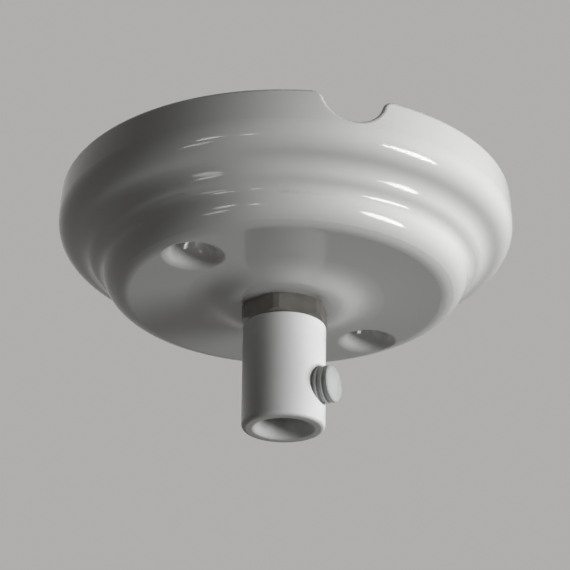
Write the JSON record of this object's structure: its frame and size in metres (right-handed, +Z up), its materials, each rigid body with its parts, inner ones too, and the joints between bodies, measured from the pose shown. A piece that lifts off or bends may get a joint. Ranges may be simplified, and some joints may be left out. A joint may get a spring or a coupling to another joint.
{
  "type": "ceiling rose",
  "caption": "Round glazed porcelain ceiling rose with stepped sides, a rim notch for a cable, countersunk fixing holes and a hanging cord grip with a side clamp screw.",
  "frame": {"origin": "centre of the rim, in the plane where it meets the ceiling", "axes": "+Z up into the ceiling, the cord grip hangs towards -Z, and the cable notch in the rim faces -Y"},
  "size_m": [0.101, 0.101, 0.0531],
  "materials": {
    "glazed_porcelain": "glossy white glaze",
    "nickel_plate": "dull nickel plate",
    "plated_steel": "bright zinc plate",
    "white_nylon": "satin moulded",
    "screw_nylon": "satin moulded",
    "terminal_plastic": "natural polyamide",
    "terminal_brass": "turned brass",
    "terminal_steel": "bright zinc plate"
  },
  "bodies": {
    "rose": {"porcelain_rose": "glazed_porcelain", "threaded_tube": "plated_steel", "lock_nut": "nickel_plate", "back_nut": "plated_steel", "back_washer": "plated_steel", "cord_grip": "white_nylon", "terminal_block": "terminal_plastic", "terminal_sleeves": "terminal_brass", "terminal_screws": "terminal_steel"},
    "clamp_screw": {"clamp_screw": "screw_nylon"}
  },
  "joints": [
    {"name": "clamp_screw_travel", "type": "slide", "parent": "rose", "child": "clamp_screw", "axis": [0.7547, -0.6561, 0], "range_m": [-0.0035, 0.002]}
  ]
}
